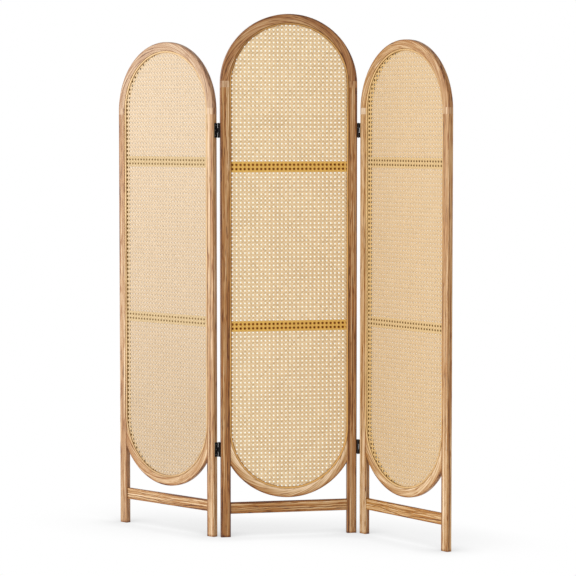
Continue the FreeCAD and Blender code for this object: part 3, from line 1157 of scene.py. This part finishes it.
@dataclass
class CaneWebbing:
    """Six-way woven cane of one panel: pairs of uprights and levels, and single strands on both diagonals.

    Attributes:
        place: Where the panel stands.
        grid: Where its openings are.
        look: Its colours and strand widths.
        seed: Picks the strands' shades.
        thickness: Thickness of a strand.
        crown: Share of a strand's width that its front face has.
        plateau: Half the stretch over which a diagonal stays over or under a pair, as a share of the pitch.
        shade: General shade of the pairs, from 0, pale, to 1, deep.
    """

    place: PanelPlace
    grid: HoleGrid
    look: CaneLook
    seed: int
    thickness: float = 1.05 * MM
    crown: float = 0.72
    plateau: float = 0.21
    shade: float = 0.3

    SIDES = 4
    PROBES = 8
    MAP_EDGE = 0.05

    def build(self) -> None:
        """Weave the four lays, each as a piece of its own, in place of the pierced sheet."""
        shades = np.random.default_rng(self.seed)
        finish = CaneFinish(self.place.side.value + "_split_cane", self.place, self.grid, self.look).build()
        for lay in Lay:
            name = f"{self.place.side.value}_cane_{lay.value}"
            piece = self.mesh(name, list(self.strands(lay)), shades)
            piece.data.materials.append(finish)
            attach(piece, self.place.side.value)
            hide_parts(self.place.side.value + "_cane_webbing")
            LOG.info("%s with %d faces", name, len(piece.data.polygons))

    def strands(self, lay: Lay) -> Iterator[Strand]:
        """Set out every strand of one lay.

        Args:
            lay: Which way the strands run.

        Yields:
            The strands, some of which may miss the sheet.
        """
        count = int((self.place.high - self.place.low + 4 * self.place.half_width) / self.grid.pitch)
        for step in range(-count, count):
            shift = (step + 0.5) * self.grid.pitch
            if lay in (Lay.UPRIGHT, Lay.LEVEL):
                for hand in (-1, 1):
                    yield self.paired(lay, shift, hand)
            else:
                yield self.slanting(lay, shift)

    def paired(self, lay: Lay, shift: float, hand: int) -> Strand:
        """Set out one strand of a pair.

        Args:
            lay: Whether it is an upright or a level.
            shift: How far the pair's middle is from the first opening.
            hand: -1 for the left or lower strand of the pair and 1 for the other one.

        Returns:
            The strand.
        """
        half_pair, half_pitch = (self.look.pair_width + self.look.pair_gap) / 2, self.grid.pitch / 2
        levels = np.array((-hand, hand, 0)) / 2
        heading = np.array((0.0, 1.0))
        offset = np.array((shift + hand * half_pair, half_pitch))
        if lay is Lay.LEVEL:
            levels, heading, offset = -levels, heading[::-1], offset[::-1]
        return Strand(
            start=np.array((self.grid.aside, self.grid.rise)) + offset,
            heading=heading,
            width=self.look.pair_width,
            period=self.grid.pitch,
            knots=np.array((-half_pair, half_pair, half_pitch)),
            levels=levels,
            shade=self.shade,
            variety=self.look.variety,
        )

    def slanting(self, lay: Lay, shift: float) -> Strand:
        """Set out one diagonal strand.

        Args:
            lay: Whether it rises or falls from left to right.
            shift: How far it is above the first opening.

        Returns:
            The strand.
        """
        slope = math.sqrt(0.5)
        hand = 1 if lay is Lay.RISING else -1
        half_pitch, flat = self.grid.pitch / 2, self.plateau * self.grid.pitch
        return Strand(
            start=np.array((self.grid.aside, self.grid.rise + shift)),
            heading=np.array((slope, hand * slope)),
            width=self.look.diagonal_width,
            period=self.grid.pitch / slope,
            knots=np.array((-flat, flat, half_pitch - flat, half_pitch + flat)) / slope,
            levels=hand * np.array((1.0, 1.0, -1.0, -1.0)),
            shade=self.shade + self.look.contrast,
            variety=self.look.variety,
        )

    def span(self, strand: Strand) -> tuple[float, float] | None:
        """Find the stretch of a strand that lies on the sheet.

        Args:
            strand: The strand.

        Returns:
            Where it begins and ends, measured from its start, or None if it misses the sheet.
        """
        step = self.grid.pitch / self.PROBES
        reach = 2 * (self.place.high - self.place.low) + 4 * self.place.half_width
        along = np.arange(-reach, reach, step)
        points = strand.start + np.outer(along, strand.heading)
        nearest = np.clip(points[:, 1], self.place.low, self.place.high)
        beyond = np.hypot(points[:, 0], points[:, 1] - nearest) - self.place.half_width
        inside = np.flatnonzero(beyond < 0)
        if len(inside) < 2:
            return None
        first, last = inside[0], inside[-1]
        before = step * beyond[first] / (beyond[first] - beyond[first - 1])
        after = step * beyond[last] / (beyond[last] - beyond[last + 1])
        return along[first] - before, along[last] + after

    def rings(self, strand: Strand, begin: float, end: float) -> tuple[np.ndarray, np.ndarray]:
        """Find where a strand's cross-sections go.

        Args:
            strand: The strand.
            begin: Where it begins.
            end: Where it ends.

        Returns:
            The places along the strand, and how far out of the sheet it is there.
        """
        periods = np.arange(math.floor(begin / strand.period) - 1, math.ceil(end / strand.period) + 2)
        knots = np.add.outer(periods * strand.period, strand.knots).ravel()
        levels = np.tile(strand.levels, len(periods)) * self.thickness
        clear = (knots > begin + strand.width / 4) & (knots < end - strand.width / 4)
        along = np.concatenate(((begin,), knots[clear], (end,)))
        return along, np.interp(along, knots, levels)

    def mesh(self, name: str, strands: Sequence[Strand], shades: np.random.Generator) -> bpy.types.Object:
        """Build the strands of one lay as closed tubes in one mesh.

        Args:
            name: The piece's name.
            strands: The strands.
            shades: Draws each strand's shade.

        Returns:
            The piece.
        """
        spans = [(strand, span) for strand in strands if (span := self.span(strand))]
        longest = max(end - begin for _, (begin, end) in spans)
        points, runs, tones, faces, maps = [], [], [], [], []
        count = 0
        for row, (strand, (begin, end)) in enumerate(spans):
            along, out = self.rings(strand, begin, end)
            places, aside = self.skin(strand, along, out)
            covered = np.repeat(along - begin, self.SIDES)
            points.append(places)
            runs.append(np.column_stack((covered, aside, np.full(len(aside), row))))
            tones.append(np.full(len(aside), strand.shade + strand.variety * (shades.random() - 0.5)))
            faces.append(self.faces(len(along)) + count)
            maps.append(self.map(along - begin, longest, row, len(spans)))
            count += len(aside)

        data = bpy.data.meshes.new(name)
        data.vertices.add(count)
        data.vertices.foreach_set("co", np.concatenate(points).ravel())
        corners = np.concatenate(faces).ravel().astype(np.int32)
        data.loops.add(len(corners))
        data.loops.foreach_set("vertex_index", corners)
        data.polygons.add(len(corners) // self.SIDES)
        data.polygons.foreach_set("loop_start", np.arange(0, len(corners), self.SIDES, dtype=np.int32))
        data.update(calc_edges=True)
        data.shade_smooth()
        data.uv_layers.new(name="OFBake").uv.foreach_set("vector", np.concatenate(maps).ravel())
        shade = data.attributes.new("strand_tone", "FLOAT", "POINT").data
        shade.foreach_set("value", np.concatenate(tones))
        run = data.attributes.new("strand_run", "FLOAT_VECTOR", "POINT").data
        run.foreach_set("vector", np.concatenate(runs).ravel())
        return put(name, data)

    def skin(self, strand: Strand, along: np.ndarray, out: np.ndarray) -> tuple[np.ndarray, np.ndarray]:
        """Place the corners of a strand's cross-sections.

        Args:
            strand: The strand.
            along: Where its cross-sections are.
            out: How far out of the sheet they are.

        Returns:
            The corners in the frame, and how far each is beside the strand's middle.
        """
        half = self.crown / 2
        section = np.array(((-0.5, -0.5), (0.5, -0.5), (half, 0.5), (-half, 0.5)))
        beside = np.array((-strand.heading[1], strand.heading[0]))
        aside = np.tile(section[:, 0] * strand.width, len(along))
        depth = np.repeat(out, self.SIDES) + np.tile(section[:, 1] * self.thickness, len(along))
        middle = strand.start + np.outer(np.repeat(along, self.SIDES), strand.heading)
        flat = middle + np.outer(aside, beside)
        return self.place.points(flat[:, 0], flat[:, 1], depth), aside

    @classmethod
    def faces(cls, rings: int) -> np.ndarray:
        """Join the corners of a strand's cross-sections to its sides and its two ends.

        Args:
            rings: How many cross-sections there are.

        Returns:
            The four corners of each face.
        """
        corner = np.arange(cls.SIDES)
        following = (corner + 1) % cls.SIDES
        near = np.arange(rings - 1)[:, None] * cls.SIDES
        far = near + cls.SIDES
        quads = np.stack((near + corner, near + following, far + following, far + corner), -1)
        ends = np.array((corner[::-1], (rings - 1) * cls.SIDES + corner))
        return np.concatenate((quads.reshape(-1, cls.SIDES), ends))

    @classmethod
    def map(cls, along: np.ndarray, longest: float, row: int, rows: int) -> np.ndarray:
        """Lay a strand out flat as one row of the piece's texture map.

        Args:
            along: Places of its cross-sections.
            longest: Length of the longest strand.
            row: The strand's number.
            rows: How many strands there are.

        Returns:
            A place on the map for each corner of each face, in the faces' order.
        """
        used = 1 - 2 * cls.MAP_EDGE
        left, right = along[:-1, None] / longest, along[1:, None] / longest
        low = (row + cls.MAP_EDGE + used * np.arange(cls.SIDES)[None, :] / cls.SIDES) / rows
        high = low + used / cls.SIDES / rows
        left, right, low, high = np.broadcast_arrays(left, right, low, high)
        quads = np.stack((left, low, left, high, right, high, right, low), -1).reshape(-1, 4, 2)
        ends = quads[[0, -1]]
        return np.concatenate((quads, ends)).reshape(-1, 2)


@dataclass
class Hinges:
    """Four butt hinges with their pins and screws.

    Attributes:
        black: Finish of leaves and pins.
        steel: Finish of the screws.
    """

    black: MetalFinish = MetalFinish("black_hinge", (0.006, 0.005, 0.005), (0.016, 0.015, 0.014), 0.0, 0.55)
    steel: MetalFinish = MetalFinish("screw_steel", (0.24, 0.23, 0.22), (0.34, 0.33, 0.31), 1.0, 0.38)

    def dress(self) -> None:
        """Give every leaf, pin and screw its finish."""
        black, steel = self.black.build(), self.steel.build()
        for node in sorted(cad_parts):
            if node.endswith("_hinge_screws"):
                dress(node, steel)
            elif "_hinge_" in node:
                dress(node, black)


@dataclass
class Studio:
    """Pale floor, soft light mostly from the left, and the camera.

    Attributes:
        camera_place: Where the camera stands.
        camera_dip: How far it looks down, in degrees.
        camera_heading: How far it is turned to the right of the frame's Y axis, in degrees.
        lens: Its focal length in millimetres on a 36 mm wide sensor.
        sight: How far it sees.
        floor_size: Side of the floor.
        shade_reach: How far off a piece still darkens the floor.
        shade_lean: Where the light comes from that the pieces keep off the floor.
        contact_reach: How far the darker shadow close round the feet goes.
        contact_full: How open the floor is where that shadow is darkest.
        contact_shade: How bright the floor is there.
        sky: Strength of the white light from all round.
        key_place: Middle of the large soft light at the front left.
        key_size: Its width and height.
        key_power: Its power in watts.
        side_place: Middle of the narrow light at the left, which lies on the left panel as a sheen.
        side_size: Its width and height.
        side_power: Its power in watts.
        aim: Where both lights point.
    """

    camera_place: Point = (-1.7289, -8.2956, 1.4200)
    camera_dip: float = 3.776
    camera_heading: float = 11.961
    lens: float = 154.26
    sight: float = 100.0
    floor_size: float = 60.0
    shade_reach: float = 0.45
    shade_lean: Point = (-0.15, -0.70, 0.70)
    contact_reach: float = 0.13
    contact_full: float = 0.85
    contact_shade: float = 0.91
    sky: float = 0.72
    key_place: Point = (-3.6, -1.9, 1.7)
    key_size: tuple[float, float] = (3.2, 2.8)
    key_power: float = 75.0
    side_place: Point = (-3.4, 1.1, 1.5)
    side_size: tuple[float, float] = (1.6, 3.0)
    side_power: float = 32.0
    aim: Point = (0.0, 0.0, 1.0)

    SHADE = ((0.4, grey(0.72)), (0.85, grey(0.92)), (0.99, grey(1.0)))
    SHADE_RAYS = 16

    def build(self) -> None:
        """Set up the floor, the light and the camera."""
        bpy.context.scene.view_settings.view_transform = "Standard"
        self.floor()
        self.sky_light()
        self.soft_light("key", self.key_place, self.key_size, self.key_power)
        self.soft_light("side", self.side_place, self.side_size, self.side_power)
        self.camera()

    def floor(self) -> None:
        """Lay the floor, which isn't part of the object and shows only soft grey shadows."""
        half = self.floor_size / 2
        data = bpy.data.meshes.new("floor")
        corners = [(-half, -half, 0.0), (half, -half, 0.0), (half, half, 0.0), (-half, half, 0.0)]
        data.from_pydata(corners, [], [(0, 1, 2, 3)])
        shading = Shading("pale_floor")
        lean = shading.add("ShaderNodeCombineXYZ", *self.shade_lean).outputs[0]
        shade = self.openness(shading, self.shade_reach, lean)
        contact = self.openness(shading, self.contact_reach)
        shading.set(
            base_color=grey(0.0),
            specular_ior_level=0.0,
            emission_color=shading.ramp(shade, self.SHADE),
            emission_strength=shading.spread(contact, self.contact_full, 1.0, self.contact_shade, 1.0),
        )
        data.materials.append(shading.material)
        floor = put("floor", data)

    def openness(self, shading: Shading, reach: float, *lean: Socket) -> Socket:
        """Measure how little the pieces within reach shut off a point of the floor, 1 for not at all."""
        shelter = ("ShaderNodeAmbientOcclusion", grey(1.0), reach, *lean)
        return shading.add(*shelter, samples=self.SHADE_RAYS).outputs["AO"]

    def sky_light(self) -> None:
        """Light the scene from all round, before a white background."""
        world = bpy.data.worlds.new("studio")
        world.use_nodes = True
        nodes, links = world.node_tree.nodes, world.node_tree.links
        light, seen = nodes["Background"], nodes.new("ShaderNodeBackground")
        for background, strength in ((light, self.sky), (seen, 1.0)):
            background.inputs["Color"].default_value = (1.0, 1.0, 1.0, 1.0)
            background.inputs["Strength"].default_value = strength
        choice = nodes.new("ShaderNodeMixShader")
        links.new(nodes.new("ShaderNodeLightPath").outputs["Is Camera Ray"], choice.inputs[0])
        links.new(light.outputs[0], choice.inputs[1])
        links.new(seen.outputs[0], choice.inputs[2])
        links.new(choice.outputs[0], nodes["World Output"].inputs["Surface"])
        bpy.context.scene.world = world

    def soft_light(self, name: str, place: Point, size: tuple[float, float], power: float) -> None:
        """Hang a soft light.

        Args:
            name: The light's name.
            place: Where its middle is.
            size: Its width and height.
            power: Its power in watts.
        """
        lamp = bpy.data.lights.new(name, "AREA")
        lamp.shape = "RECTANGLE"
        lamp.size, lamp.size_y = size
        lamp.energy = power
        light = put(name, lamp)
        light.location = place
        light.rotation_euler = (Vector(self.aim) - Vector(place)).to_track_quat("-Z", "Y").to_euler()
        light.visible_camera = False

    def camera(self) -> None:
        """Stand the camera where the photograph was taken from."""
        data = bpy.data.cameras.new("camera")
        data.lens = self.lens
        data.clip_end = self.sight
        camera = put("camera", data)
        camera.location = self.camera_place
        camera.rotation_euler = (math.radians(90 - self.camera_dip), 0.0, math.radians(-self.camera_heading))
        bpy.context.scene.camera = camera


# Tones are set board by board. Besides each board's own tone they hold painted light and shade: the middle
# panel's boards are set darker than the side panels' for the weaker light on its front.
TONES = {
    Side.LEFT: PanelTones(
        left_stile=BoardTone(0.37, end_lift=-0.16, richness=0.96),
        right_stile=BoardTone(0.33, end_lift=-0.08, edge=0.04, groove=0.40),
        left_splice_block=BoardTone(0.27, figure=0.5, richness=0.88),
        right_splice_block=BoardTone(0.19, figure=0.5, richness=0.88),
        arch=BoardTone(0.33, inner_lift=0.16, end_lift=0.04, edge=0.18, richness=0.86),
        lower_arc=BoardTone(0.32, inner_lift=0.12, end_lift=0.20),
        bottom_rail=BoardTone(0.45, end_lift=-0.20, figure=1.2, richness=1.05),
    ),
    Side.MIDDLE: PanelTones(
        left_stile=BoardTone(0.56, end_lift=0.18, richness=1.05),
        right_stile=BoardTone(0.55, groove=0.14, richness=1.05),
        left_splice_block=BoardTone(0.34, figure=0.5, richness=0.9),
        right_splice_block=BoardTone(0.32, figure=0.5),
        arch=BoardTone(0.53, inner_lift=0.14, end_lift=-0.16, edge=0.20),
        lower_arc=BoardTone(0.11, inner_lift=0.74, end_lift=0.14, slant=0.20, richness=1.06),
        bottom_rail=BoardTone(0.57, end_lift=0.26, figure=1.3, richness=1.08),
    ),
    Side.RIGHT: PanelTones(
        left_stile=BoardTone(0.18, edge=0.34, richness=1.05),
        right_stile=BoardTone(0.38, end_lift=-0.04, edge=0.18, groove=0.26, richness=1.05),
        left_splice_block=BoardTone(-0.03, figure=0.5, richness=0.86),
        right_splice_block=BoardTone(0.19, figure=0.5, richness=0.95),
        arch=BoardTone(0.258, end_lift=-0.12, richness=1.02),
        lower_arc=BoardTone(0.22, inner_lift=0.40, end_lift=0.22, richness=1.04),
        bottom_rail=BoardTone(0.48, end_lift=-0.22, figure=1.3, richness=1.14),
    ),
}

REEDS = {
    Side.LEFT: ReedLook(linear(222, 188, 136), linear(158, 114, 66), lean=0.08, rise=-0.22),
    Side.MIDDLE: ReedLook(linear(218, 168, 96), linear(132, 84, 32), lean=-0.36, rise=0.42),
    Side.RIGHT: ReedLook(linear(229, 192, 134), linear(166, 120, 66), lean=0.42, rise=0.06),
}

# The middle panel's strands are set paler than the side panels' as painted light, for the light that comes
# through them from behind.
CANE_LOOKS = {
    Side.LEFT: CaneLook(
        pale=linear(218, 196, 167),
        deep=linear(190, 164, 130),
        glued=linear(207, 181, 139),
        rim=0.55,
        rim_reach=0.74,
        rim_colour=linear(110, 78, 0),
        stain=20 * MM,
        stain_gold=0.18,
        seam=0.5,
        fade=0.40,
        pair_width=5.6 * MM,
        diagonal_width=5.75 * MM,
    ),
    Side.MIDDLE: CaneLook(
        pale=linear(244, 219, 180),
        deep=linear(205, 175, 135),
        glued=linear(224, 180, 94),
        rim=1.0,
        rim_reach=0.80,
        rim_colour=linear(154, 84, 0),
        stain=6 * MM,
        stain_gold=0.3,
        stain_rim=0.6,
        seam=0.9,
        worn=1.0,
        contrast=0.35,
        variety=0.6,
        fade=0.10,
        pair_width=4.65 * MM,
        diagonal_width=4.75 * MM,
    ),
    Side.RIGHT: CaneLook(
        pale=linear(226, 200, 162),
        deep=linear(196, 164, 121),
        glued=linear(217, 186, 137),
        rim=0.86,
        rim_reach=0.70,
        rim_colour=linear(108, 74, 0),
        stain=30 * MM,
        stain_gold=0.40,
        seam=0.7,
        aside=9.0 * MM,
        fade=0.12,
        pair_width=5.55 * MM,
        diagonal_width=5.7 * MM,
    ),
}


def main() -> None:
    """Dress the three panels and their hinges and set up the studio."""
    logging.basicConfig(level=logging.INFO, format="%(message)s")
    for number, side in enumerate(Side):
        place = PanelPlace.of(side)
        PanelFrame(place, TONES[side], REEDS[side], seed=FIGURE_STEP * (number + 1)).dress()
        look = CANE_LOOKS[side]
        CaneWebbing(place, HoleGrid.over(place, look.aside), look, seed=number).build()
    Hinges().dress()
    Studio().build()


if __name__ == "__main__":
    main()
